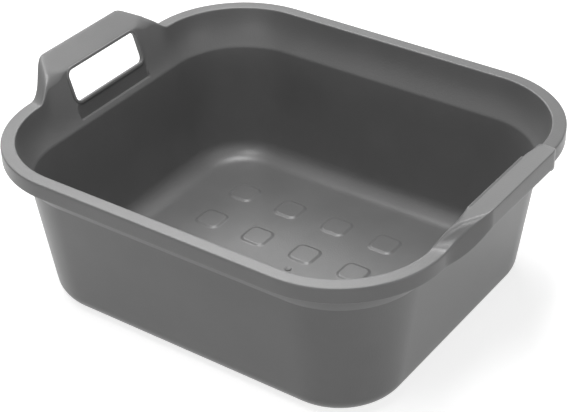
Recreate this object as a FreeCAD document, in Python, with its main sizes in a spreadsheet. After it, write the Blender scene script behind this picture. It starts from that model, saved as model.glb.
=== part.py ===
import FreeCAD, Part
import Sketcher
import math
import os

# Washing up bowl, one polypropylene moulding modelled as its named regions.
# Frame: +Z up, origin under the middle of the foot, X along the length with a hand slot
# at each end, Y across, front at -Y. All sizes in millimetres.
# Every wall follows the rim at a constant inset, so one section serves a straight side
# (padded) and a corner (turned about the corner's own upright axis).

SIZES = {
    # plan of the rim's outer edge, and its height above the table
    "rim_length": 363.0,
    "rim_width": 320.0,
    "rim_corner_radius": 82.0,
    "rim_height": 136.5,
    # section of the rim: flat flange, skirt outside it, coved band inside it
    "wall": 2.4,
    "flange_width": 10.8,
    "skirt_depth": 12.5,
    "crease_inset": 20.8,
    "crease_drop": 31.7,
    "band_radius": 83.0,
    # lower wall, floor and foot
    "floor_inset": 34.1,
    "floor_thickness": 2.5,
    "cove_radius": 18.0,
    "heel_radius": 16.0,
    "foot_height": 3.0,
    "foot_width": 4.0,
    # raised pads on the floor, and the moulding gate in the middle
    "pad_size": 21.0,
    "pad_corner_radius": 5.5,
    "pad_height": 1.0,
    "pad_pitch": 46.0,
    "gate_radius": 2.8,
    "gate_height": 0.8,
    # hand slots: the flange rises and leans out over each one as a sloping grip
    "grip_rise": 21.8,
    "grip_reach": 16.0,
    "grip_skirt_depth": 15.0,
    "grip_shoulder": 1.0,
    "grip_inner_rise": 12.1,
    "grip_inner_inset": 5.7,
    "slot_width": 82.8,
    "slot_drop": 15.2,
    "slot_sill_inset": 14.5,
    "slot_corner_radius": 5.0,
    "ledge_inset": 16.5,
    "ledge_height": 3.6,
    "lip_width": 1.2,
    "lip_depth": 3.0,
}
PAD_COLUMNS = 5
PAD_ROWS = 4
POST_STATIONS = 7
# a post leans out a little after it rises, and its skirt's foot rises later still
LEAN_LAG = 1.25
SKIRT_LAG = 2
# part of a post's length in which its inner ridge stays level with the grip's
RIDGE_LEVEL_SHARE = 0.535

doc = FreeCAD.newDocument("washing_up_bowl")
sheet = doc.addObject("Spreadsheet::Sheet", "sizes")
for row, (name, number) in enumerate(SIZES.items(), start=1):
    sheet.set(f"A{row}", name)
    sheet.set(f"B{row}", str(number))
    sheet.setAlias(f"B{row}", name)
doc.recompute()

UP = FreeCAD.Vector(0, 0, 1)
subparts = []


def size(name):
    """Driving dimension as the sheet holds it."""
    return float(sheet.get(name))


def cells(text):
    """Expression with every size name turned into a reference to the sheet."""
    for name in sorted(SIZES, key=len, reverse=True):
        text = text.replace(f"[{name}]", f"sizes.{name}")
    return text


def new_body(label):
    body = doc.addObject("PartDesign::Body", label)
    body.Label = label
    subparts.append(body)
    return body


def new_sketch(body, plane):
    sketch = body.newObject("Sketcher::SketchObject", f"{body.Label}_{plane}_outline")
    support = next(item for item in body.Origin.OriginFeatures if item.Role == plane)
    sketch.AttachmentSupport = [(support, "")]
    sketch.MapMode = "FlatFace"
    return sketch


def arc_between(start, finish, radius, turn):
    """Shorter arc from start to finish, bending left (turn 1) or right (turn -1)."""
    chord = finish - start
    half = chord.Length / 2
    rise = math.sqrt(max(radius ** 2 - half ** 2, 0))
    side = FreeCAD.Vector(-chord.y, chord.x, 0).normalize() * turn
    centre = (start + finish) * 0.5 + side * rise
    circle = Part.Circle(centre, UP, radius)
    first, last = (start, finish) if turn > 0 else (finish, start)
    angles = [math.atan2(end.y - centre.y, end.x - centre.x) for end in (first, last)]
    return Part.ArcOfCircle(circle, *angles)


def outline(sketch, corners):
    """Closed outline; a corner is (across, up) or (across, up, arc radius, turn)."""
    def number(text):
        found = sketch.evalExpression(cells(text))
        return float(getattr(found, "Value", found))

    places = [FreeCAD.Vector(number(c[0]), number(c[1]), 0) for c in corners]
    links = []
    for index, corner in enumerate(corners):
        start = places[index]
        finish = places[(index + 1) % len(places)]
        if len(corner) == 2:
            geometry = Part.LineSegment(start, finish)
            ends = (1, 2)
        else:
            geometry = arc_between(start, finish, number(corner[2]), corner[3])
            ends = (1, 2) if corner[3] > 0 else (2, 1)
        links.append((sketch.addGeometry(geometry, False), *ends))
    for index, corner in enumerate(corners):
        item, first, last = links[index]
        after, after_first, _ = links[(index + 1) % len(links)]
        sketch.addConstraint(Sketcher.Constraint("Coincident", item, last, after, after_first))
        for kind, text in (("DistanceX", corner[0]), ("DistanceY", corner[1])):
            bound = sketch.addConstraint(
                Sketcher.Constraint(kind, -1, 1, item, first, number(text)))
            sketch.setExpression(f"Constraints[{bound}]", cells(text))
        if len(corner) > 2:
            bound = sketch.addConstraint(Sketcher.Constraint("Radius", item, number(corner[2])))
            sketch.setExpression(f"Constraints[{bound}]", cells(corner[2]))


def rounded_rectangle(sketch, half_across, half_up, radius, middle_up="0"):
    """Rounded rectangle about (0, middle_up), drawn anticlockwise."""
    corners = []
    for turn, (across, up) in enumerate(((1, -1), (1, 1), (-1, 1), (-1, -1))):
        flat = (f"{across} * ({half_across} - {radius})", f"{middle_up} + {up} * ({half_up})")
        upright = (f"{across} * ({half_across})", f"{middle_up} + {up} * ({half_up} - {radius})")
        first, last = (flat, upright) if turn % 2 == 0 else (upright, flat)
        corners += [(*first, radius, 1), last]
    outline(sketch, corners)


def pad(body, sketch, length, reverse=False, midplane=False):
    feature = body.newObject("PartDesign::Pad", f"{body.Label}_pad")
    feature.Profile = sketch
    feature.setExpression("Length", cells(length))
    feature.Reversed = reverse
    feature.Midplane = midplane
    return feature


def quarter_turn(body, sketch):
    feature = body.newObject("PartDesign::Revolution", f"{body.Label}_turn")
    feature.Profile = sketch
    feature.ReferenceAxis = (sketch, ["V_Axis"])
    feature.Angle = 90
    return feature


AXIS_X = "([rim_length] / 2 - [rim_corner_radius])"
AXIS_Y = "([rim_width] / 2 - [rim_corner_radius])"
FLOOR_TOP = "([foot_height] + [floor_thickness])"


def stand(body, quarter, across, along, height="0"):
    """Turn a body a number of quarter turns and place its origin."""
    body.Placement = FreeCAD.Placement(FreeCAD.Vector(), FreeCAD.Rotation(UP, 90 * quarter))
    body.setExpression("Placement.Base.x", cells(across))
    body.setExpression("Placement.Base.y", cells(along))
    body.setExpression("Placement.Base.z", cells(height))


# Sections, measured across from the corner axis and up from the table

RIM = "[rim_corner_radius]"
CREASE = (f"{RIM} - [crease_inset]", "[rim_height] - [crease_drop]")
CREASE_OUTSIDE = (f"{RIM} - [crease_inset] + [wall]", "[rim_height] - [crease_drop]")


def rim_section():
    """Coved band, flat flange and skirt, all one wall thick."""
    return [
        (*CREASE, "[band_radius]", 1),
        (f"{RIM} - [flange_width]", "[rim_height]"),
        (RIM, "[rim_height]"),
        (RIM, "[rim_height] - [skirt_depth]"),
        (f"{RIM} - [wall]", "[rim_height] - [skirt_depth]"),
        (f"{RIM} - [wall]", "[rim_height] - [wall]"),
        (f"{RIM} - [flange_width] + [wall]", "[rim_height] - [wall]", "[band_radius] + [wall]", -1),
        CREASE_OUTSIDE,
    ]


def eased(across, up, top, radius):
    """Two ends of the round between a level floor at (across, up) and the wall up to top."""
    lean = f"(({top[0]} - ({across})) / ({top[1]} - {up}))"
    slant = f"sqrt(1 + {lean}^2)"
    reach = f"({radius} * ({slant} - {lean}))"
    on_floor = (f"{across} - {reach}", up)
    on_wall = (f"{across} + {reach} * {lean} / {slant}", f"{up} + {reach} / {slant}")
    return on_floor, on_wall


def wall_section():
    """Leaning lower wall with its round cove inside and heel outside."""
    inner = f"{RIM} - [floor_inset]"
    cove_floor, cove_wall = eased(inner, FLOOR_TOP, CREASE, "[cove_radius]")
    heel_floor, heel_wall = eased(f"{inner} + [wall]", "[foot_height]", CREASE_OUTSIDE, "[heel_radius]")
    return [
        CREASE,
        (*cove_wall, "[cove_radius]", -1),
        cove_floor,
        (f"{inner} - [cove_radius]", FLOOR_TOP),
        (f"{inner} - [cove_radius]", "[foot_height]"),
        (*heel_floor, "[heel_radius]", 1),
        heel_wall,
        CREASE_OUTSIDE,
    ]


# Walls and rim: four straight sides and four corners

CORNERS = (
    ("right_rear", 1, 1),
    ("left_rear", -1, 1),
    ("left_front", -1, -1),
    ("right_front", 1, -1),
)
SIDES = ("right", "rear", "left", "front")


def straight_side(label, quarter, section):
    """Side of the bowl, padded along the rim from the corner axis before it."""
    _, sign_x, sign_y = CORNERS[quarter - 1]
    half = AXIS_Y if quarter % 2 == 0 else AXIS_X
    body = new_body(label)
    sketch = new_sketch(body, "XZ_Plane")
    outline(sketch, section)
    pad(body, sketch, f"2 * {half}", reverse=True)
    stand(body, quarter, f"{sign_x} * {AXIS_X}", f"{sign_y} * {AXIS_Y}")


def corner(label, quarter, section):
    _, sign_x, sign_y = CORNERS[quarter]
    body = new_body(label)
    sketch = new_sketch(body, "XZ_Plane")
    outline(sketch, section)
    quarter_turn(body, sketch)
    stand(body, quarter, f"{sign_x} * {AXIS_X}", f"{sign_y} * {AXIS_Y}")


for quarter, side in enumerate(SIDES):
    straight_side(f"{side}_wall", quarter, wall_section())
    corner(f"{CORNERS[quarter][0]}_wall_corner", quarter, wall_section())
    corner(f"{CORNERS[quarter][0]}_rim_corner", quarter, rim_section())
straight_side("rear_rim", 1, rim_section())
straight_side("front_rim", 3, rim_section())


# Floor, foot, pads and gate

FLOOR_HALF_X = "([rim_length] / 2 - [floor_inset] - [cove_radius])"
FLOOR_HALF_Y = "([rim_width] / 2 - [floor_inset] - [cove_radius])"
FLOOR_RADIUS = "([rim_corner_radius] - [floor_inset] - [cove_radius])"


def floor_panel():
    body = new_body("floor_panel")
    sketch = new_sketch(body, "XY_Plane")
    rounded_rectangle(sketch, FLOOR_HALF_X, FLOOR_HALF_Y, FLOOR_RADIUS)
    pad(body, sketch, "[floor_thickness]")
    stand(body, 0, "0", "0", "[foot_height]")


def foot_ring():
    body = new_body("foot_ring")
    sketch = new_sketch(body, "XY_Plane")
    rounded_rectangle(sketch, FLOOR_HALF_X, FLOOR_HALF_Y, FLOOR_RADIUS)
    wider = "+ [foot_width])"
    rounded_rectangle(sketch, f"({FLOOR_HALF_X} {wider}", f"({FLOOR_HALF_Y} {wider}",
                      f"({FLOOR_RADIUS} {wider}")
    pad(body, sketch, "[foot_height]")


def floor_pads():
    """Raised pads in even columns and rows, centred on the floor."""
    body = new_body("floor_pads")
    body.AllowCompound = True
    sketch = new_sketch(body, "XY_Plane")
    rounded_rectangle(sketch, "([pad_size] / 2)", "([pad_size] / 2)", "[pad_corner_radius]")
    first = pad(body, sketch, "[pad_height]")
    doc.recompute()
    pattern = body.newObject("PartDesign::LinearPattern", "pad_grid")
    pattern.Originals = [first]
    pattern.Direction = (sketch, ["H_Axis"])
    pattern.Occurrences = PAD_COLUMNS
    pattern.setExpression("Length", cells(f"{PAD_COLUMNS - 1} * [pad_pitch]"))
    pattern.Direction2 = (sketch, ["V_Axis"])
    pattern.Occurrences2 = PAD_ROWS
    pattern.setExpression("Length2", cells(f"{PAD_ROWS - 1} * [pad_pitch]"))
    body.Tip = pattern
    first_x = f"-{PAD_COLUMNS - 1} / 2 * [pad_pitch]"
    first_y = f"-{PAD_ROWS - 1} / 2 * [pad_pitch]"
    stand(body, 0, first_x, first_y, FLOOR_TOP)


def gate_pip():
    pip = doc.addObject("Part::Cylinder", "gate_pip")
    pip.Label = "gate_pip"
    pip.setExpression("Radius", cells("[gate_radius]"))
    pip.setExpression("Height", cells("[gate_height]"))
    pip.setExpression("Placement.Base.z", cells(FLOOR_TOP))
    subparts.append(pip)


floor_panel()
foot_ring()
floor_pads()
gate_pip()


# Hand slots: sill panel below, sloping grip above, a post each side and a lip round the opening

SLOT_RUN = "([slot_sill_inset] - [grip_inner_inset])"
SLOT_RISE = "([slot_drop] + [grip_inner_rise])"
SLOT_SPAN = f"sqrt({SLOT_RUN}^2 + {SLOT_RISE}^2)"
LIP_ACROSS = f"[lip_depth] * {SLOT_RISE} / {SLOT_SPAN}"
LIP_DOWN = f"[lip_depth] * {SLOT_RUN} / {SLOT_SPAN}"
GRIP_SLOPE = "(([grip_rise] - [grip_inner_rise]) / ([grip_reach] + [grip_inner_inset]))"


def grip_section():
    """Sloping grip with the skirt hanging from its outer edge."""
    inner = (f"{RIM} - [grip_inner_inset]", "[rim_height] + [grip_inner_rise]")
    outer = (f"{RIM} + [grip_reach]", "[rim_height] + [grip_rise]")
    under = f"[wall] * ({GRIP_SLOPE} + sqrt(1 + {GRIP_SLOPE}^2))"
    return [
        inner,
        (f"{inner[0]} + {LIP_ACROSS}", f"{inner[1]} - {LIP_DOWN}"),
        (f"{outer[0]} - [wall]", f"{outer[1]} - {under}"),
        (f"{outer[0]} - [wall]", f"{outer[1]} - [grip_skirt_depth]"),
        (outer[0], f"{outer[1]} - [grip_skirt_depth]"),
        outer,
    ]


def sill_section():
    """Upright panel from the ledge above the crease to the lower edge of the slot."""
    sill = (f"{RIM} - [slot_sill_inset]", "[rim_height] - [slot_drop]")
    ledge_up = f"{CREASE[1]} + [ledge_height]"
    return [
        CREASE,
        CREASE_OUTSIDE,
        (f"{RIM} - [ledge_inset] + [wall]", ledge_up),
        (f"{sill[0]} + {LIP_ACROSS}", f"{sill[1]} - {LIP_DOWN}"),
        sill,
        (f"{RIM} - [ledge_inset]", ledge_up),
    ]


def end_panel(label, quarter, section):
    """Straight piece across the middle of an end, as wide as the slot."""
    sign = 1 if quarter == 0 else -1
    body = new_body(label)
    sketch = new_sketch(body, "XZ_Plane")
    outline(sketch, section)
    pad(body, sketch, "[slot_width]", midplane=True)
    stand(body, quarter, f"{sign} * {AXIS_X}", "0")


def slot_lip(label, sign):
    """Thickened frame of the slot with round corners, leaning out with the opening."""
    body = new_body(label)
    sketch = new_sketch(body, "YZ_Plane")
    half_y = "([slot_width] / 2)"
    half_up = f"({SLOT_SPAN} / 2)"
    outline(sketch, [
        (f"-1 * {half_y}", "0"),
        (half_y, "0"),
        (half_y, SLOT_SPAN),
        (f"-1 * {half_y}", SLOT_SPAN),
    ])
    rounded_rectangle(sketch, f"({half_y} - [lip_width])", f"({half_up} - [lip_width])",
                      "[slot_corner_radius]", half_up)
    pad(body, sketch, "[lip_depth]", reverse=sign < 0)
    stand(body, 0, f"{sign} * ([rim_length] / 2 - [slot_sill_inset])", "0", "[rim_height] - [slot_drop]")
    body.Placement.Rotation = FreeCAD.Rotation(FreeCAD.Vector(0, sign, 0), 1)
    body.setExpression("Placement.Rotation.Angle", cells(f"atan2({SLOT_RUN}; {SLOT_RISE})"))


def smooth(share):
    return share * share * (3 - 2 * share)


def band_inset(drop):
    """Inset of the coved band's face at a depth below the flange."""
    run = size("crease_inset") - size("flange_width")
    chord = math.hypot(run, size("crease_drop"))
    rise = math.sqrt(size("band_radius") ** 2 - (chord / 2) ** 2)
    centre_inset = (size("crease_inset") + size("flange_width")) / 2 + rise * size("crease_drop") / chord
    centre_drop = size("crease_drop") / 2 - rise * run / chord
    return centre_inset - math.sqrt(size("band_radius") ** 2 - (drop - centre_drop) ** 2)


def post_face(share, ridge_share):
    """Points (outward, up) of a post's inner face from the rim's edge.

    The shares are 0 at the post's root and 1 at the grip, and the inner ridge has its own.
    """
    crease_drop = size("crease_drop")
    skirt_depth = size("skirt_depth")
    skirt_climb = size("grip_rise") - size("grip_skirt_depth") + skirt_depth

    def blend(part, root_out, root_up, top_out, top_up):
        out = root_out + part ** LEAN_LAG * (top_out - root_out)
        up = root_up + part * (top_up - root_up)
        return FreeCAD.Vector(out, up, 0)

    drops = (crease_drop, crease_drop - size("ledge_height"), size("slot_drop"))
    outer = blend(share, 0, 0, size("grip_reach"), size("grip_rise"))
    return [
        *(FreeCAD.Vector(-band_inset(drop), -drop, 0) for drop in drops),
        blend(ridge_share, -size("flange_width"), 0, -size("grip_inner_inset"), size("grip_inner_rise")),
        outer,
        FreeCAD.Vector(outer.x, share ** SKIRT_LAG * skirt_climb - skirt_depth, 0),
    ]


def thickened(face):
    """The same points moved one wall to the right of the way they run."""
    wall = size("wall")
    moved = [face[0] + FreeCAD.Vector(wall, 0, 0)]
    for before, here, after in zip(face, face[1:], face[2:]):
        sides = []
        for step in (here - before, after - here):
            sides.append(FreeCAD.Vector(step.y, -step.x, 0).normalize())
        moved.append(here + (sides[0] + sides[1]) * (wall / (1 + sides[0].dot(sides[1]))))
    moved.append(face[-1] - FreeCAD.Vector(wall, 0, 0))
    return moved


def post_wire(share, ridge_share, along):
    """Closed section of a post at a distance along the end of the bowl."""
    def stood(points):
        return [FreeCAD.Vector(p.x, along, p.y) for p in points]

    def smooth_edge(points):
        curve = Part.BSplineCurve()
        curve.interpolate(points)
        return curve.toShape()

    face = post_face(share, ridge_share)
    back = stood(thickened(face))
    face = stood(face)
    edges = [smooth_edge(face[:4])]
    for start, finish in zip(face[3:], face[4:]):
        edges.append(Part.LineSegment(start, finish).toShape())
    edges.append(Part.LineSegment(face[-1], back[-1]).toShape())
    for start, finish in zip(back[:2:-1], back[-2:2:-1]):
        edges.append(Part.LineSegment(start, finish).toShape())
    edges.append(smooth_edge(back[3::-1]))
    edges.append(Part.LineSegment(back[0], face[0]).toShape())
    return Part.Wire(edges)


def post(label, end, side):
    """Post from the slot to the corner, lofted as it rises and leans out to the grip."""
    slot_edge = size("slot_width") / 2
    grip_end = slot_edge + size("grip_shoulder")
    root = size("rim_width") / 2 - size("rim_corner_radius")
    ridge_end = slot_edge + RIDGE_LEVEL_SHARE * (root - slot_edge)
    sections = [post_wire(1, 1, side * slot_edge)]
    for station in range(POST_STATIONS + 1):
        along = grip_end + station / POST_STATIONS * (root - grip_end)
        share = smooth((root - along) / (root - grip_end))
        ridge_share = smooth(min((root - along) / (root - ridge_end), 1))
        sections.append(post_wire(share, ridge_share, side * along))
    feature = doc.addObject("Part::Feature", label)
    feature.Label = label
    feature.Shape = Part.makeLoft(sections, True, False)
    reach = FreeCAD.Vector(end * size("rim_length") / 2, 0, size("rim_height"))
    feature.Placement = FreeCAD.Placement(reach, FreeCAD.Rotation(UP, 0 if end > 0 else 180))
    subparts.append(feature)


for name, quarter, end in (("right", 0, 1), ("left", 2, -1)):
    end_panel(f"{name}_grip", quarter, grip_section())
    end_panel(f"{name}_slot_sill", quarter, sill_section())
    slot_lip(f"{name}_slot_lip", end)
    post(f"{name}_rear_post", end, end)
    post(f"{name}_front_post", end, -end)


# Check every object, then write one file for each sub-part

doc.recompute()
failed = [item.Label for item in doc.Objects if {"Invalid", "Error"} & set(item.State)]
broken = [item.Label for item in subparts if item.Shape.isNull() or not item.Shape.isValid()]
if failed or broken:
    raise RuntimeError(f"failed objects {failed}, broken shapes {broken}")
os.makedirs("parts", exist_ok=True)
for item in subparts:
    print(item.Label, len(item.Shape.Solids), "solids", round(item.Shape.Volume), "mm3")
    item.Shape.exportStep(f"parts/{item.Label}.step")
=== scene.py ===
import math

import bpy
import numpy as np
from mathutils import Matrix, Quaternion, Vector


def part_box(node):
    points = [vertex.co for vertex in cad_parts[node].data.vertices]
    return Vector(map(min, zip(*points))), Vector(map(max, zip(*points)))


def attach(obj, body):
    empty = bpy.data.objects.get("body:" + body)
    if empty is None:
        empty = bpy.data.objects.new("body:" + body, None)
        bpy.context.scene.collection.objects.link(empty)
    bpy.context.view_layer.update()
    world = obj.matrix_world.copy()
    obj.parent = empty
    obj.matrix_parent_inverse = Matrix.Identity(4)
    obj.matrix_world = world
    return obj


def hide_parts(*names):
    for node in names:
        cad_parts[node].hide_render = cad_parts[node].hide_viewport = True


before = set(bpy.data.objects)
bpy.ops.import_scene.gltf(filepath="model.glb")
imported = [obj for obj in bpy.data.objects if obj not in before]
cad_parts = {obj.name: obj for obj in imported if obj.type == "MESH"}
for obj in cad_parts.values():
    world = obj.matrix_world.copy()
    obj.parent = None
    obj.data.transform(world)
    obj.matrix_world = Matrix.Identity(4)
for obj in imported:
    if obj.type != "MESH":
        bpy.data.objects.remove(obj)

bl_info = {
    "name": "Washing Up Bowl",
    "version": (1, 0, 0),
    "blender": (4, 5, 0),
    "location": "View3D > Sidebar > Bowl",
    "description": "Moulded polypropylene washing up bowl with two hand slots on a pale studio floor",
    "category": "Object",
}

MM = 0.001
QUARTER_TURN = math.pi / 2
CORNER_SIGNS = ((1, 1), (-1, 1), (-1, -1), (1, -1))

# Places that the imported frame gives, in metres

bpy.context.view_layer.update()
RIM_LOW, RIM_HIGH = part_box("front_rim")
WALL_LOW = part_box("front_wall")[0]
POST_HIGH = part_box("right_rear_post")[1]
GRIP_LOW, GRIP_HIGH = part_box("right_grip")
SILL_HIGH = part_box("right_slot_sill")[1]
LIP_LOW, LIP_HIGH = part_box("right_slot_lip")
FLOOR_LOW, FLOOR_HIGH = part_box("floor_panel")
FOOT_LOW, FOOT_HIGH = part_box("foot_ring")
PAD_LOW, PAD_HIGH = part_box("floor_pads")
PIP_LOW, PIP_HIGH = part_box("gate_pip")

# Axes of the rim's round corners, and the rim's reach at an end and a side
AXIS_X = RIM_HIGH.x
AXIS_Y = POST_HIGH.y
RIM_TOP = RIM_HIGH.z
RIM_RADIUS = -RIM_LOW.y - AXIS_Y
RIM_END = AXIS_X + RIM_RADIUS
RIM_SIDE = AXIS_Y + RIM_RADIUS
SLOT_HALF = SILL_HIGH.y

# Distances out and up from the rim's outer edge
GRIP_OUT = GRIP_HIGH.x - RIM_END
GRIP_UP = GRIP_HIGH.z - RIM_TOP
FLOOR_OUT = FLOOR_HIGH.x - RIM_END
FLOOR_UP = FLOOR_HIGH.z - RIM_TOP
UNDER_UP = FLOOR_LOW.z - RIM_TOP
FOOT_OUT = FOOT_HIGH.x - RIM_END
FOOT_UP = FOOT_LOW.z - RIM_TOP

# Part of a post's length in which its inner ridge stays level with the grip's
RIDGE_LEVEL_SHARE = 0.535


def linear(hex_text):
    """sRGB hex colour as linear RGBA."""
    parts = [int(hex_text[i:i + 2], 16) / 255 for i in (1, 3, 5)]
    return [p / 12.92 if p <= 0.04045 else ((p + 0.055) / 1.055) ** 2.4 for p in parts] + [1.0]


def length(name, description, default):
    return bpy.props.FloatProperty(
        name=name, description=description, default=default, unit="LENGTH", precision=5)


def colour(name, description, hex_text):
    return bpy.props.FloatVectorProperty(
        name=name, description=description, default=linear(hex_text), size=4, subtype="COLOR")


def power(name, description, default):
    return bpy.props.FloatProperty(name=name, description=description, default=default, unit="POWER")


def place(name, description, default):
    return bpy.props.FloatVectorProperty(
        name=name, description=description, default=default, subtype="XYZ", unit="LENGTH")


def share(name, description, default):
    return bpy.props.FloatProperty(
        name=name, description=description, default=default, subtype="FACTOR", min=0.0, max=1.0)


class BowlSizes(bpy.types.PropertyGroup):
    """Sizes of the moulding, its slot lips and its floor pads"""
    wall: length("Wall", "Thickness all over", RIM_HIGH.y - WALL_LOW.y)
    flange_width: length("Flange width", "Flat top of the rim", 10.8 * MM)
    rim_edge: length("Rim inner edge", "Ease of the flange's inner edge", 1.0 * MM)
    outer_edge: length("Rim outer edge", "Ease of the flange's outer edge", 1.4 * MM)
    skirt_depth: length("Skirt depth", "Turned-down edge outside the flange", 12.5 * MM)
    crease_inset: length("Crease inset", "Inner crease, in from the rim", RIM_HIGH.y - RIM_LOW.y)
    crease_drop: length("Crease drop", "Inner crease, below the rim", RIM_HIGH.z - RIM_LOW.z)
    crease_ease: length("Crease ease", "Ease of the inner crease", 1.4 * MM)
    band_radius: length("Band radius", "Hollow of the band above the crease", 83.0 * MM)
    cove_radius: length("Cove radius", "Round between inner wall and floor", 18.0 * MM)
    heel_radius: length("Heel radius", "Round between outer wall and underside", 16.0 * MM)
    foot_ease: length("Foot ease", "Ease of the foot ring's edges", 0.7 * MM)
    grip_inner_inset: length(
        "Grip inset", "Lower edge of the grip, in from the rim", RIM_END - GRIP_LOW.x)
    grip_inner_rise: length("Grip rise", "Lower edge of the grip, above the rim", LIP_HIGH.z - RIM_TOP)
    grip_shoulder: length("Grip shoulder", "Level end of the grip's outer edge past the slot", 1.0 * MM)
    ridge_shoulder: length(
        "Ridge shoulder", "Level end of the grip's inner ridge past the slot",
        RIDGE_LEVEL_SHARE * (AXIS_Y - SLOT_HALF))
    ridge_edge: length("Ridge edge", "Ease of the inner ridge beside the slot", 5.0 * MM)
    ridge_run: length("Ridge run", "Distance from the slot in which the ridge softens", 12.0 * MM)
    grip_skirt_depth: length(
        "Grip skirt depth", "Turned-down edge of the grip", GRIP_HIGH.z - GRIP_LOW.z)
    slot_drop: length("Slot drop", "Lower edge of the slot, below the rim", RIM_TOP - SILL_HIGH.z)
    slot_inset: length("Slot inset", "Lower edge of the slot, in from the rim", RIM_END - LIP_LOW.x)
    slot_corner_radius: length("Slot corner radius", "Corners of the opening", 5.0 * MM)
    ledge_inset: length("Ledge inset", "Foot of the pocket below the slot, in from the rim", 16.5 * MM)
    ledge_height: length("Ledge height", "Foot of the pocket below the slot, above the crease", 3.6 * MM)
    pocket_edge: length("Pocket edge", "Width of the pocket's side step", 0.8 * MM)
    lip_width: length("Lip width", "Frame between the slot's edge and its opening", 1.2 * MM)
    lip_cover: length("Lip cover", "How far the lip's bead covers the wall", 2.2 * MM)
    lip_proud: length("Lip proud", "How far the lip's bead stands off the wall", 0.6 * MM)
    lip_inside: length("Lip inside", "How far the lip's bead stands into the opening", 0.15 * MM)
    lip_ease: length("Lip ease", "Ease of the lip's edges", 0.5 * MM)
    pad_size: length("Pad size", "Side of a raised floor pad", 21.0 * MM)
    pad_corner_radius: length("Pad corner radius", "Corners of a raised floor pad", 5.5 * MM)
    pad_slope: length("Pad slope", "Half the width of a pad's soft edge", 1.6 * MM)


class BowlFinish(bpy.types.PropertyGroup):
    """Colour and surface of the polypropylene"""
    grey: colour("Grey", "Colour of the plastic", "#656565")
    pale_grey: colour("Pale grey", "Paler flow marks in the plastic", "#717171")
    roughness: share("Roughness", "Satin of the mould's texture", 0.34)
    roughness_spread: share("Roughness spread", "Change of the satin from place to place", 0.04)
    grain: length("Grain", "Spacing of the mould's fine texture", 1.2 * MM)
    grain_depth: length("Grain depth", "Depth of the mould's fine texture", 0.09 * MM)
    flow: length("Flow marks", "Size of the faint flow marks", 40 * MM)


class BowlStage(bpy.types.PropertyGroup):
    """Camera, floor and lamps"""
    camera_place: place("Camera place", "Where the camera stands", (0.60104, -0.83639, 0.75361))
    camera_aim: place("Camera aim", "Point that the camera looks at", (-0.01203, 0.01418, 0.0524))
    camera_roll: bpy.props.FloatProperty(
        name="Camera roll", description="Turn about the view", default=math.radians(-1.53), subtype="ANGLE")
    camera_lens: bpy.props.FloatProperty(
        name="Lens", description="Focal length for a frame 36 mm wide", default=102.92, unit="CAMERA")
    floor_size: length("Floor size", "Side of the square floor", 2.0)
    floor_grey: colour("Floor", "Colour of the floor where it lights the bowl", "#c4c4c4")
    floor_glow: share("Floor glow", "Part of the floor's white that shadow doesn't take", 0.8)
    ambient: share("Ambient", "Level of the light from all round", 0.02)
    overhead_power: power("Overhead", "Soft box above, a little behind", 10.0)
    front_power: power("Front", "Soft box above the near side", 7.0)
    left_power: power("Left", "Soft box at the left end, for the bends of the posts", 2.5)
    rear_power: power("Rear", "Soft box behind on the left, for the sheen of the rim", 10.0)
    right_power: power("Right", "Low soft box at the right end", 3.0)
    low_front_power: power("Low front", "Low soft box in front, under the rim's shade", 3.0)


# Lines in the section of the moulding: points (out, up) from the rim's outer edge

def smooth(part):
    part = min(max(part, 0.0), 1.0)
    return part * part * (3 - 2 * part)


def point(out, up):
    return np.array((out, up), dtype=float)


def unit(vector):
    return vector / np.linalg.norm(vector)


def right_of(vector):
    """Unit vector to the right of the way a line runs."""
    return unit(point(vector[1], -vector[0]))


def mitre(before, corner, after, thickness):
    """Corner of the line that runs one thickness to the right."""
    first = right_of(corner - before)
    second = right_of(after - corner)
    return corner + (first + second) * (thickness / (1 + first @ second))


def straight(start, finish, steps):
    """Points after start, up to and with finish."""
    return [start + (finish - start) * step / steps for step in range(1, steps + 1)]


def turned(start, corner, finish, steps):
    """Soft corner from start to finish, drawn towards the sharp corner."""
    parts = [step / steps for step in range(steps + 1)]
    return [(1 - t) ** 2 * start + 2 * t * (1 - t) * corner + t * t * finish for t in parts]


def eased(before, corner, after, reach, steps):
    """Soft corner that leaves both sides at a reach from the sharp corner."""
    start = corner - unit(corner - before) * reach
    finish = corner + unit(after - corner) * reach
    return turned(start, corner, finish, steps)


def floor_round(corner, top, radius, steps):
    """Arc from a level floor up to the wall that rises from corner to top."""
    lean = math.atan2(top[0] - corner[0], top[1] - corner[1])
    reach = radius * math.tan((QUARTER_TURN - lean) / 2)
    centre = corner + point(-reach, radius)
    angles = np.linspace(-QUARTER_TURN, -lean, steps + 1)
    return [centre + radius * point(math.cos(a), math.sin(a)) for a in angles]


def spline(knots, steps):
    """Natural cubic through the knots, with a number of steps in each span."""
    knots = np.array(knots)
    spans = np.linalg.norm(np.diff(knots, axis=0), axis=1)
    count = len(knots)
    system = np.eye(count)
    goal = np.zeros((count, 2))
    slopes = np.diff(knots, axis=0) / spans[:, None]
    for i in range(1, count - 1):
        system[i, i - 1:i + 2] = spans[i - 1], 2 * (spans[i - 1] + spans[i]), spans[i]
        goal[i] = 6 * (slopes[i] - slopes[i - 1])
    bend = np.linalg.solve(system, goal)
    found = [knots[0]]
    for i, number in enumerate(steps):
        for step in range(1, number + 1):
            b = step / number
            a = 1 - b
            curve = ((a ** 3 - a) * bend[i] + (b ** 3 - b) * bend[i + 1]) * spans[i] ** 2 / 6
            found.append(a * knots[i] + b * knots[i + 1] + curve)
    return found


# Section of the moulding

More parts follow.
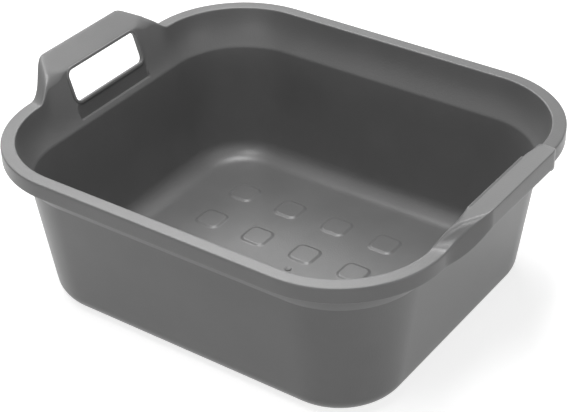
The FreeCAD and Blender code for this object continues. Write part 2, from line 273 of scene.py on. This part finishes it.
# Steps in its stretches, from the floor round the rim to the underside
COVE_STEPS = 14
INNER_WALL_STEPS = 10
CREASE_STEPS = 4
LEDGE_STEPS = 4
POCKET_STEPS = 2
SILL_STEPS = 6
OPENING_STEPS = 9
RIDGE_STEPS = 5
FLANGE_STEPS = 8
OUTER_EDGE_STEPS = 6
SKIRT_STEPS = 6
SKIRT_EASE_STEPS = 3
UNDER_RIM_STEPS = 4
OUTER_WALL_STEPS = 8
HEEL_STEPS = 12
FOOT_EASE_STEPS = 3

# Steps of the curve beside the slot from which the band's points are read
CURVE_STEPS = 24

# Points of the band at the slot's lower and upper edge, and its last one
SLOT_FIRST = LEDGE_STEPS + POCKET_STEPS + SILL_STEPS + 1
SLOT_LAST = SLOT_FIRST + OPENING_STEPS
BAND_LAST = SLOT_LAST + 1

# Powers of the rim's rise by which its lean and its skirt lag behind it
LEAN_LAG = 1.25
SKIRT_LAG = 2

# Part of the wall that the ease of the skirt's edges takes
SKIRT_EASE_SHARE = 0.45

# Least distances from the slot up to the eased ridge, and from the wall's back to the rim's underside
RIDGE_GAP = 0.2 * MM
BACK_GAP = 0.05 * MM


def band_inset(size, drop):
    """Inset of the hollow band at a depth below the flange."""
    run = size.crease_inset - size.flange_width
    chord = math.hypot(run, size.crease_drop)
    rise = math.sqrt(size.band_radius ** 2 - (chord / 2) ** 2)
    centre_inset = (size.crease_inset + size.flange_width) / 2 + rise * size.crease_drop / chord
    centre_drop = size.crease_drop / 2 - rise * run / chord
    return centre_inset - math.sqrt(size.band_radius ** 2 - (drop - centre_drop) ** 2)


def risen(along, shoulder):
    """Share of its rise that the rim has at a place along an end.

    It is 1 as far as the shoulder, and 0 from the round corner on, where along is None.
    """
    return 0.0 if along is None else smooth((AXIS_Y - abs(along)) / (AXIS_Y - shoulder))


def top_point(size, along, part):
    """Point of the rim's top, from its outer edge (part 0) to its inner ridge (part 1).

    The rim rises to a grip that slopes in, and leans out a little after it rises.
    The ridge stays up longer than the outer edge.
    """
    rim = point(-size.flange_width * part, 0)
    outer = point(GRIP_OUT, GRIP_UP)
    inner = point(-size.grip_inner_inset, size.grip_inner_rise)
    grip = outer + (inner - outer) * part
    shoulder = size.grip_shoulder + (size.ridge_shoulder - size.grip_shoulder) * part
    rise = risen(along, SLOT_HALF + shoulder)
    return rim + point(rise ** LEAN_LAG, rise) * (grip - rim)


def rim_corners(size, along):
    """Sharp corners of the rim: its inner ridge, its outer edge and the foot of its skirt."""
    ridge = top_point(size, along, 1)
    outer = top_point(size, along, 0)
    rise = risen(along, SLOT_HALF + size.grip_shoulder) ** SKIRT_LAG
    climb = GRIP_UP - size.grip_skirt_depth + size.skirt_depth
    skirt = point(outer[0], rise * climb - size.skirt_depth)
    return ridge, outer, skirt


def ridge_ease(size, along):
    """Ease of the ridge, crisp on the rim and at the slot and soft on the posts between."""
    if along is None:
        return size.rim_edge
    up = risen(along, SLOT_HALF + size.ridge_shoulder)
    soft = smooth((abs(along) - SLOT_HALF) / size.ridge_run) * up
    return size.rim_edge + (size.ridge_edge - size.rim_edge) * soft


def inner_band(size, ridge, ridge_reach, pocket):
    """Inner face from the eased crease to just below the ridge.

    Pocket is true across the slot and the flat pocket below it, which leave the hollow band.
    """
    def on_band(drop):
        return point(-band_inset(size, drop), -drop)

    crease = on_band(size.crease_drop)
    ledge = on_band(size.crease_drop - size.ledge_height)
    start = crease + unit(ledge - crease) * size.crease_ease
    sill = point(-size.slot_inset, -size.slot_drop) if pocket else on_band(size.slot_drop)
    span = np.linalg.norm(ridge - sill)
    margin = size.lip_width / span
    last = 1 - ridge_reach / span
    slot_top = min(1 - margin, last - RIDGE_GAP / span)
    stops = [*np.linspace(margin, slot_top, OPENING_STEPS + 1), last]
    if pocket:
        foot = point(-size.ledge_inset, ledge[1])
        lower = straight(start, ledge, LEDGE_STEPS) + straight(ledge, foot, POCKET_STEPS)
        lower += straight(foot, sill, SILL_STEPS)
        return [start] + lower + [sill + (ridge - sill) * stop for stop in stops]
    curve = spline((start, ledge, sill, ridge), (LEDGE_STEPS, POCKET_STEPS + SILL_STEPS, CURVE_STEPS))
    outs, ups = np.array(curve[-CURVE_STEPS - 1:]).T
    parts = np.linspace(0, 1, CURVE_STEPS + 1)
    upper = [point(np.interp(stop, parts, outs), np.interp(stop, parts, ups)) for stop in stops]
    return curve[:-CURVE_STEPS] + upper


def inner_wall(size, band):
    """From the floor's edge up the cove and the inner wall to the band's start."""
    foot = point(FLOOR_OUT + size.cove_radius, FLOOR_UP)
    crease = point(-size.crease_inset, -size.crease_drop)
    cove = floor_round(foot, crease, size.cove_radius, COVE_STEPS)
    crease_turn = eased(foot, crease, band[1], size.crease_ease, CREASE_STEPS)
    wall = straight(cove[-1], crease_turn[0], INNER_WALL_STEPS)
    return [point(FLOOR_OUT, FLOOR_UP)] + cove + wall + crease_turn[1:-1]


def rim_turn(size, along, band, ridge_reach):
    """From the band's end over the ridge and the flange, down the skirt and back below the ridge."""
    ridge, outer, skirt = rim_corners(size, along)
    skirt_inside = skirt - point(size.wall, 0)
    width = np.linalg.norm(outer - ridge)
    stops = np.linspace(1 - ridge_reach / width, size.outer_edge / width, FLANGE_STEPS + 1)
    flange = [top_point(size, along, stop) for stop in stops]
    edge_end = outer + unit(skirt - outer) * size.outer_edge
    under_outer = mitre(ridge, outer, skirt, size.wall)
    under_ridge = mitre(band[-2], ridge, outer, size.wall)
    ease = size.wall * SKIRT_EASE_SHARE
    foot_turn = eased(outer, skirt, skirt_inside, ease, SKIRT_EASE_STEPS)
    inside_turn = eased(skirt, skirt_inside, under_outer, ease, SKIRT_EASE_STEPS)

    found = turned(band[-1], ridge, flange[0], RIDGE_STEPS)[1:] + flange[1:]
    found += turned(flange[-1], outer, edge_end, OUTER_EDGE_STEPS)[1:]
    found += straight(edge_end, foot_turn[0], SKIRT_STEPS) + foot_turn[1:] + inside_turn
    found += straight(inside_turn[-1], under_outer, UNDER_RIM_STEPS)
    return found + straight(under_outer, under_ridge, UNDER_RIM_STEPS)


def band_back(size, along, band):
    """Outer face behind the band, from below the ridge down to the crease."""
    ridge, outer, _ = rim_corners(size, along)
    under_ridge = mitre(band[-2], ridge, outer, size.wall)
    back = [band[0] + point(size.wall, 0)]
    for before, here, after in zip(band, band[1:], band[2:]):
        back.append(mitre(before, here, after, size.wall))
    onward = unit(ridge - band[-2])
    clear = max(i for i, spot in enumerate(back) if (under_ridge - spot) @ onward > BACK_GAP)
    back = back[:clear + 1] + straight(back[clear], under_ridge, BAND_LAST - clear)
    return back[-2::-1]


def outer_wall(size, start):
    """From a start at the crease down the outer wall, round the heel and over the foot ring."""
    foot = point(FLOOR_OUT + size.cove_radius + size.wall, UNDER_UP)
    crease = point(-size.crease_inset, -size.crease_drop)
    heel = floor_round(foot, crease + point(size.wall, 0), size.heel_radius, HEEL_STEPS)
    ring_outer = point(FOOT_OUT, UNDER_UP)
    ring_inner = point(FLOOR_OUT, UNDER_UP)
    drop = point(0, FOOT_UP - UNDER_UP)
    found = straight(start, heel[-1], OUTER_WALL_STEPS) + heel[-2::-1] + [ring_outer]
    found += eased(ring_outer, ring_outer + drop, ring_inner + drop, size.foot_ease, FOOT_EASE_STEPS)
    found += eased(ring_outer + drop, ring_inner + drop, ring_inner, size.foot_ease, FOOT_EASE_STEPS)
    return found + [ring_inner]


def section(size, along, pocket):
    """Wall section from the floor's edge round the rim to the underside.

    Also gives where the band starts in it, inside and outside.
    """
    ridge = top_point(size, along, 1)
    ridge_reach = ridge_ease(size, along)
    band = inner_band(size, ridge, ridge_reach, pocket)
    inside = inner_wall(size, band)
    top = rim_turn(size, along, band, ridge_reach)
    outside = band_back(size, along, band)
    low = outer_wall(size, outside[-1])
    points = inside + band + top + outside + low
    return points, len(inside), len(inside) + len(band) + len(top)


# Plan of the moulding

CORNER_STEPS = 30
LONG_STEPS = 36
POST_STEPS = 34
SLOT_STEPS = 16


def end_places(size):
    """Distances along an end between its corner axes, closest where the form turns."""
    opening = SLOT_HALF - size.lip_width
    half = list(np.linspace(0, opening, SLOT_STEPS + 1))
    half += [SLOT_HALF, SLOT_HALF + size.pocket_edge]
    half += list(np.linspace(SLOT_HALF + size.pocket_edge, AXIS_Y, POST_STEPS + 1)[1:])
    return [-p for p in half[:0:-1]] + half


def rim_stations(size):
    """Upright cuts anticlockwise round the rim.

    Each is a point of the rim's outer edge, the way out, and the place along an end or None.
    """
    found = []
    for quarter, (sign_x, sign_y) in enumerate(CORNER_SIGNS):
        turn = quarter * QUARTER_TURN
        outward = Vector((math.cos(turn), math.sin(turn)))
        sideways = Vector((-math.sin(turn), math.cos(turn)))
        if quarter % 2 == 0:
            for along in end_places(size):
                found.append((outward * RIM_END + sideways * along, outward, along))
        else:
            for along in np.linspace(-AXIS_X, AXIS_X, LONG_STEPS + 1):
                found.append((outward * RIM_SIDE + sideways * along, outward, None))
        axis = Vector((sign_x * AXIS_X, sign_y * AXIS_Y))
        for step in range(1, CORNER_STEPS):
            angle = turn + QUARTER_TURN * step / CORNER_STEPS
            outward = Vector((math.cos(angle), math.sin(angle)))
            found.append((axis + outward * RIM_RADIUS, outward, None))
    return found


def moulding_faces(in_slot, count, inside_at, outside_at):
    """Faces between neighbouring cuts of so many points, with an edge round each hand slot."""
    def inner(index):
        return inside_at + index

    def outer(index):
        return outside_at + BAND_LAST - 1 - index

    gap_inside = range(inner(SLOT_FIRST), inner(SLOT_LAST))
    gap_outside = range(outer(SLOT_LAST), outer(SLOT_FIRST))
    low, low_back = inner(SLOT_FIRST), outer(SLOT_FIRST)
    high, high_back = inner(SLOT_LAST), outer(SLOT_LAST)
    cuts = len(in_slot)
    faces = []
    for i in range(cuts):
        j = (i + 1) % cuts
        here, there = i * count, j * count
        hole = in_slot[i] and in_slot[j]
        for k in range(count - 1):
            if not hole or (k not in gap_inside and k not in gap_outside):
                faces.append((here + k, there + k, there + k + 1, here + k + 1))
        if hole:
            faces.append((here + low, there + low, there + low_back, here + low_back))
            faces.append((there + high, here + high, here + high_back, there + high_back))
        elif in_slot[i] or in_slot[j]:
            edge = here if in_slot[i] else there
            for k in range(SLOT_FIRST, SLOT_LAST):
                side = (edge + inner(k), edge + inner(k + 1), edge + outer(k + 1), edge + outer(k))
                faces.append(side if in_slot[i] else side[::-1])
    faces.append([i * count for i in range(cuts)][::-1])
    faces.append([(i + 1) * count - 1 for i in range(cuts)])
    return [face[::-1] for face in faces]


# Pieces

SHARP_ANGLE = math.radians(45)


def new_piece(name, vertices, faces, *nodes):
    """Smooth polypropylene mesh that rides on the bowl and stands for CAD nodes."""
    mesh = bpy.data.meshes.new(name)
    mesh.from_pydata([tuple(v) for v in vertices], [], [tuple(f) for f in faces])
    mesh.validate()
    mesh.shade_smooth()
    mesh.set_sharp_from_angle(angle=SHARP_ANGLE)
    mesh.materials.append(moulded_polypropylene())
    piece = bpy.data.objects.new(name, mesh)
    bpy.context.scene.collection.objects.link(piece)
    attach(piece, "root")
    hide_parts(*nodes)


class BOWL_OT_moulding(bpy.types.Operator):
    """Walls, floor, rim, posts and grips as one thin moulding"""
    bl_idname = "bowl.moulding"
    bl_label = "Bowl moulding"

    def execute(self, context):
        size = context.scene.bowl_sizes
        stations = rim_stations(size)
        pocket_half = SLOT_HALF + size.pocket_edge / 2
        opening_half = SLOT_HALF - size.lip_width / 2
        vertices = []
        for edge, outward, along in stations:
            pocket = along is not None and abs(along) < pocket_half
            points, inside_at, outside_at = section(size, along, pocket)
            for out, up in points:
                spot = edge + outward * out
                vertices.append((spot.x, spot.y, RIM_TOP + up))
        in_slot = [along is not None and abs(along) < opening_half for _, _, along in stations]
        faces = moulding_faces(in_slot, len(points), inside_at, outside_at)
        covered = [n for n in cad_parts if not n.endswith(("_slot_lip", "_pads", "_pip"))]
        new_piece("bowl_moulding", vertices, faces, *covered)
        return {"FINISHED"}


LOOP_CORNER_STEPS = 8


def rounded_loop(half_across, half_up, radius, grow):
    """Rounded rectangle grown by a distance, anticlockwise."""
    found = []
    for quarter, (sign_x, sign_y) in enumerate(CORNER_SIGNS):
        middle = point(sign_x * (half_across - radius), sign_y * (half_up - radius))
        for step in range(LOOP_CORNER_STEPS + 1):
            angle = QUARTER_TURN * (quarter + step / LOOP_CORNER_STEPS)
            found.append(middle + (radius + grow) * point(math.cos(angle), math.sin(angle)))
    return found


def bridge(first, count):
    """Faces between a loop of vertices and the next one."""
    return [(first + i, first + (i + 1) % count, first + count + (i + 1) % count, first + count + i)
            for i in range(count)]


LIP_EASE_STEPS = 4


def lip_profile(size):
    """Closed section of a slot lip: points (out from the opening, back from the wall's inner face)."""
    back = size.wall + size.lip_proud
    corners = [
        point(size.lip_cover, -size.lip_proud), point(-size.lip_inside, -size.lip_proud),
        point(-size.lip_inside, back), point(size.lip_cover, back)]
    found = []
    for number, corner in enumerate(corners):
        after = corners[(number + 1) % len(corners)]
        found += eased(corners[number - 1], corner, after, size.lip_ease, LIP_EASE_STEPS)
    return found


class BOWL_OT_slot_lips(bpy.types.Operator):
    """Beaded lip round the opening of each hand slot"""
    bl_idname = "bowl.slot_lips"
    bl_label = "Slot lips"

    def execute(self, context):
        size = context.scene.bowl_sizes
        run = size.slot_inset - size.grip_inner_inset
        rise = size.slot_drop + size.grip_inner_rise
        span = math.hypot(run, rise)
        half_up = span / 2 - size.lip_width
        half_across = SLOT_HALF - size.lip_width
        profile = lip_profile(size)
        for sign, side in ((1, "right"), (-1, "left")):
            up = Vector((sign * run, 0, rise)) / span
            out = Vector((sign * rise, 0, -run)) / span
            along = Vector((0, sign, 0))
            sill = Vector((sign * (RIM_END - size.slot_inset), 0, RIM_TOP - size.slot_drop))
            middle = sill + up * (span / 2)
            vertices = []
            faces = []
            for grow, depth in profile:
                loop = rounded_loop(half_across, half_up, size.slot_corner_radius, grow)
                vertices += [middle + along * a + up * u + out * depth for a, u in loop]
            count = len(loop)
            for number in range(len(profile) - 1):
                faces += bridge(number * count, count)
            last = (len(profile) - 1) * count
            faces += [(last + i, last + (i + 1) % count, (i + 1) % count, i) for i in range(count)]
            new_piece(f"{side}_lip", vertices, faces, f"{side}_slot_lip")
        return {"FINISHED"}


PAD_EDGE_STEPS = 8

# Place of a pad's last loop in slopes inside its edge, on the flat top, so that only the edge is round
PAD_FLAT_SHARE = 1.2


class BOWL_OT_floor_pads(bpy.types.Operator):
    """Soft-edged raised pads in rows on the floor"""
    bl_idname = "bowl.floor_pads"
    bl_label = "Floor pads"

    columns: bpy.props.IntProperty(name="Columns", description="Pads along the bowl", default=5)
    rows: bpy.props.IntProperty(name="Rows", description="Pads across the bowl", default=4)

    def execute(self, context):
        size = context.scene.bowl_sizes
        half = size.pad_size / 2
        height = PAD_HIGH.z - PAD_LOW.z
        parts = [*np.linspace(1, -1, PAD_EDGE_STEPS + 1), -PAD_FLAT_SHARE]
        vertices = []
        faces = []
        for x in np.linspace(PAD_LOW.x + half, PAD_HIGH.x - half, self.columns):
            for y in np.linspace(PAD_LOW.y + half, PAD_HIGH.y - half, self.rows):
                for number, part in enumerate(parts):
                    lift = PAD_LOW.z + height * smooth((1 - part) / 2)
                    loop = rounded_loop(half, half, size.pad_corner_radius, part * size.pad_slope)
                    vertices += [(x + across, y + up, lift) for across, up in loop]
                    if number:
                        faces += bridge(len(vertices) - 2 * len(loop), len(loop))
                faces.append(range(len(vertices) - len(loop), len(vertices)))
        new_piece("raised_pads", vertices, faces, "floor_pads")
        return {"FINISHED"}


PIP_STEPS = 32

# Section of the gate pip from its foot over its edge to its dished middle, in radii and heights
PIP_SHARES = (
    (1.0, 0.0), (0.98, 0.55), (0.88, 0.92), (0.74, 1.0),
    (0.55, 0.8), (0.3, 0.55), (0.12, 0.5))


class BOWL_OT_gate_pip(bpy.types.Operator):
    """Small round mark of the moulding gate in the middle of the floor"""
    bl_idname = "bowl.gate_pip"
    bl_label = "Gate pip"

    def execute(self, context):
        radius = (PIP_HIGH.x - PIP_LOW.x) / 2
        height = PIP_HIGH.z - PIP_LOW.z
        vertices = []
        faces = []
        for number, (reach, lift) in enumerate(PIP_SHARES):
            for step in range(PIP_STEPS):
                angle = math.tau * step / PIP_STEPS
                spot = radius * reach * point(math.cos(angle), math.sin(angle))
                vertices.append((*spot, PIP_LOW.z + height * lift))
            if number:
                faces += bridge((number - 1) * PIP_STEPS, PIP_STEPS)
        faces.append(range(len(vertices) - PIP_STEPS, len(vertices)))
        new_piece("gate_mark", vertices, faces, "gate_pip")
        return {"FINISHED"}


# Materials

POLYPROPYLENE_IOR = 1.49
FLOW_DETAIL = 4.0
GRAIN_DETAIL = 2.0


def empty_tree(owner):
    """Node tree of a material or a world, with no nodes yet."""
    owner.use_nodes = True
    owner.node_tree.nodes.clear()
    return owner.node_tree


def add_node(tree, kind, inputs=(), **settings):
    """Node with its settings; an input is a value, or another node's output to link."""
    node = tree.nodes.new(kind)
    for name, value in settings.items():
        setattr(node, name, value)
    for name, value in dict(inputs).items():
        if isinstance(value, bpy.types.NodeSocket):
            tree.links.new(value, node.inputs[name])
        else:
            node.inputs[name].default_value = value
    return node


def moulded_polypropylene():
    """Polypropylene, injection moulded in a lightly textured mould.

    To the eye: an even neutral grey with a soft satin sheen, a fine grain and faint flow marks.
    """
    name = "moulded_polypropylene"
    if name in bpy.data.materials:
        return bpy.data.materials[name]
    finish = bpy.context.scene.bowl_finish
    material = bpy.data.materials.new(name)
    tree = empty_tree(material)
    spot = add_node(tree, "ShaderNodeTexCoord").outputs["Object"]
    flow = add_node(tree, "ShaderNodeTexNoise", {
        "Vector": spot, "Scale": 1 / finish.flow, "Detail": FLOW_DETAIL})
    # The mould's texture is about a fifth of a millimetre, drawn coarser here so that it shows
    grain = add_node(tree, "ShaderNodeTexNoise", {
        "Vector": spot, "Scale": 1 / finish.grain, "Detail": GRAIN_DETAIL})
    tone = add_node(tree, "ShaderNodeMix", {
        "Factor": flow.outputs["Fac"], "A": finish.grey, "B": finish.pale_grey}, data_type="RGBA")
    satin = add_node(tree, "ShaderNodeMapRange", {
        "Value": flow.outputs["Fac"],
        "To Min": finish.roughness - finish.roughness_spread,
        "To Max": finish.roughness + finish.roughness_spread})
    relief = add_node(tree, "ShaderNodeBump", {
        "Height": grain.outputs["Fac"], "Distance": finish.grain_depth})
    surface = add_node(tree, "ShaderNodeBsdfPrincipled", {
        "Base Color": tone.outputs["Result"], "Roughness": satin.outputs["Result"],
        "Normal": relief.outputs["Normal"], "IOR": POLYPROPYLENE_IOR})
    add_node(tree, "ShaderNodeOutputMaterial", {"Surface": surface.outputs["BSDF"]})
    return material


def seen_directly(tree):
    """1 for rays that show the background itself, 0 for rays that carry its light."""
    path = add_node(tree, "ShaderNodeLightPath")
    seen = path.outputs["Is Camera Ray"]
    for other in ("Is Glossy Ray", "Is Transmission Ray"):
        either = add_node(tree, "ShaderNodeMath", {0: seen, 1: path.outputs[other]}, operation="MAXIMUM")
        seen = either.outputs[0]
    return seen


def matt_white_paper(stage):
    """Matt white paper: white to the camera but for the bowl's shadow, and a soft grey bounce."""
    material = bpy.data.materials.new("matt_white_paper")
    tree = empty_tree(material)
    bounce = add_node(tree, "ShaderNodeBsdfDiffuse", {"Color": stage.floor_grey}).outputs["BSDF"]
    glow = add_node(tree, "ShaderNodeEmission", {"Strength": stage.floor_glow}).outputs["Emission"]
    white = add_node(tree, "ShaderNodeAddShader", {0: bounce, 1: glow}).outputs["Shader"]
    mixed = add_node(tree, "ShaderNodeMixShader", {0: seen_directly(tree), 1: bounce, 2: white})
    add_node(tree, "ShaderNodeOutputMaterial", {"Surface": mixed.outputs["Shader"]})
    return material


# Stage

WHITE = linear("#ffffff")

# Width of the camera's frame, in millimetres as Blender counts it
FRAME_WIDTH = 36.0

# Where each soft box hangs, its width and its depth, in metres
SOFT_BOXES = {
    "overhead": ((-0.1, 0.22, 1.4), 0.5, 0.4),
    "front": ((0.1, -0.6, 1.3), 0.5, 0.5),
    "left": ((-1.4, 0.45, 0.65), 0.5, 0.5),
    "rear": ((-0.78, 0.75, 1.26), 0.8, 0.55),
    "right": ((1.4, 0, 0.2), 0.9, 0.3),
    "low_front": ((0.3, -1.4, 0.25), 0.9, 0.25),
}


def lay_floor(stage):
    half = stage.floor_size / 2
    corners = [(sign_x * half, sign_y * half, 0) for sign_x, sign_y in CORNER_SIGNS]
    mesh = bpy.data.meshes.new("studio_floor")
    mesh.from_pydata(corners, [], [(0, 1, 2, 3)])
    mesh.materials.append(matt_white_paper(stage))
    floor = bpy.data.objects.new("studio_floor", mesh)
    bpy.context.scene.collection.objects.link(floor)


def hang_soft_boxes(stage):
    """Soft boxes that all face the middle of the bowl."""
    middle = Vector((0, 0, RIM_TOP / 2))
    for name, (spot, width, depth) in SOFT_BOXES.items():
        lamp = bpy.data.lights.new(name, "AREA")
        lamp.shape = "RECTANGLE"
        lamp.size = width
        lamp.size_y = depth
        lamp.energy = getattr(stage, f"{name}_power")
        holder = bpy.data.objects.new(name, lamp)
        holder.location = spot
        holder.rotation_euler = (middle - Vector(spot)).to_track_quat("-Z", "Y").to_euler()
        bpy.context.scene.collection.objects.link(holder)


def white_surround(stage):
    """World that is white to the camera and lights the bowl faintly from all round."""
    world = bpy.data.worlds.new("white_surround")
    tree = empty_tree(world)
    ambient = add_node(tree, "ShaderNodeBackground", {"Color": WHITE, "Strength": stage.ambient})
    white = add_node(tree, "ShaderNodeBackground", {"Color": WHITE, "Strength": 1.0})
    mixed = add_node(tree, "ShaderNodeMixShader", {
        0: seen_directly(tree), 1: ambient.outputs["Background"], 2: white.outputs["Background"]})
    add_node(tree, "ShaderNodeOutputWorld", {"Surface": mixed.outputs["Shader"]})
    return world


def stand_camera(stage):
    camera = bpy.data.cameras.new("camera")
    camera.sensor_width = FRAME_WIDTH
    camera.lens = stage.camera_lens
    holder = bpy.data.objects.new("camera", camera)
    spot = Vector(stage.camera_place)
    view = (Vector(stage.camera_aim) - spot).to_track_quat("-Z", "Y")
    holder.location = spot
    holder.rotation_mode = "QUATERNION"
    holder.rotation_quaternion = view @ Quaternion((0, 0, 1), stage.camera_roll)
    bpy.context.scene.collection.objects.link(holder)
    bpy.context.scene.camera = holder


class BOWL_OT_stage(bpy.types.Operator):
    """Pale floor, soft light and the camera"""
    bl_idname = "bowl.stage"
    bl_label = "Stage"

    def execute(self, context):
        scene = context.scene
        stage = scene.bowl_stage
        lay_floor(stage)
        hang_soft_boxes(stage)
        scene.world = white_surround(stage)
        scene.view_settings.view_transform = "Standard"
        stand_camera(stage)
        return {"FINISHED"}


class BOWL_PT_panel(bpy.types.Panel):
    """Lists the bowl's sizes and the steps that make it"""
    bl_label = "Washing Up Bowl"
    bl_space_type = "VIEW_3D"
    bl_region_type = "UI"
    bl_category = "Bowl"

    def draw(self, context):
        layout = self.layout
        for group in GROUPS:
            settings = getattr(context.scene, group)
            column = layout.column(align=True)
            for name in settings.__annotations__:
                column.prop(settings, name)
        for step in STEPS:
            layout.operator(step.bl_idname)


STEPS = (BOWL_OT_moulding, BOWL_OT_slot_lips, BOWL_OT_floor_pads, BOWL_OT_gate_pip, BOWL_OT_stage)
GROUPS = {"bowl_sizes": BowlSizes, "bowl_finish": BowlFinish, "bowl_stage": BowlStage}
CLASSES = (*GROUPS.values(), *STEPS, BOWL_PT_panel)


def register():
    for item in CLASSES:
        bpy.utils.register_class(item)
    for name, group in GROUPS.items():
        setattr(bpy.types.Scene, name, bpy.props.PointerProperty(type=group))


def unregister():
    for name in GROUPS:
        delattr(bpy.types.Scene, name)
    for item in reversed(CLASSES):
        bpy.utils.unregister_class(item)


def main():
    register()
    bpy.ops.bowl.moulding()
    bpy.ops.bowl.slot_lips()
    bpy.ops.bowl.floor_pads()
    bpy.ops.bowl.gate_pip()
    bpy.ops.bowl.stage()


if __name__ == "__main__":
    main()
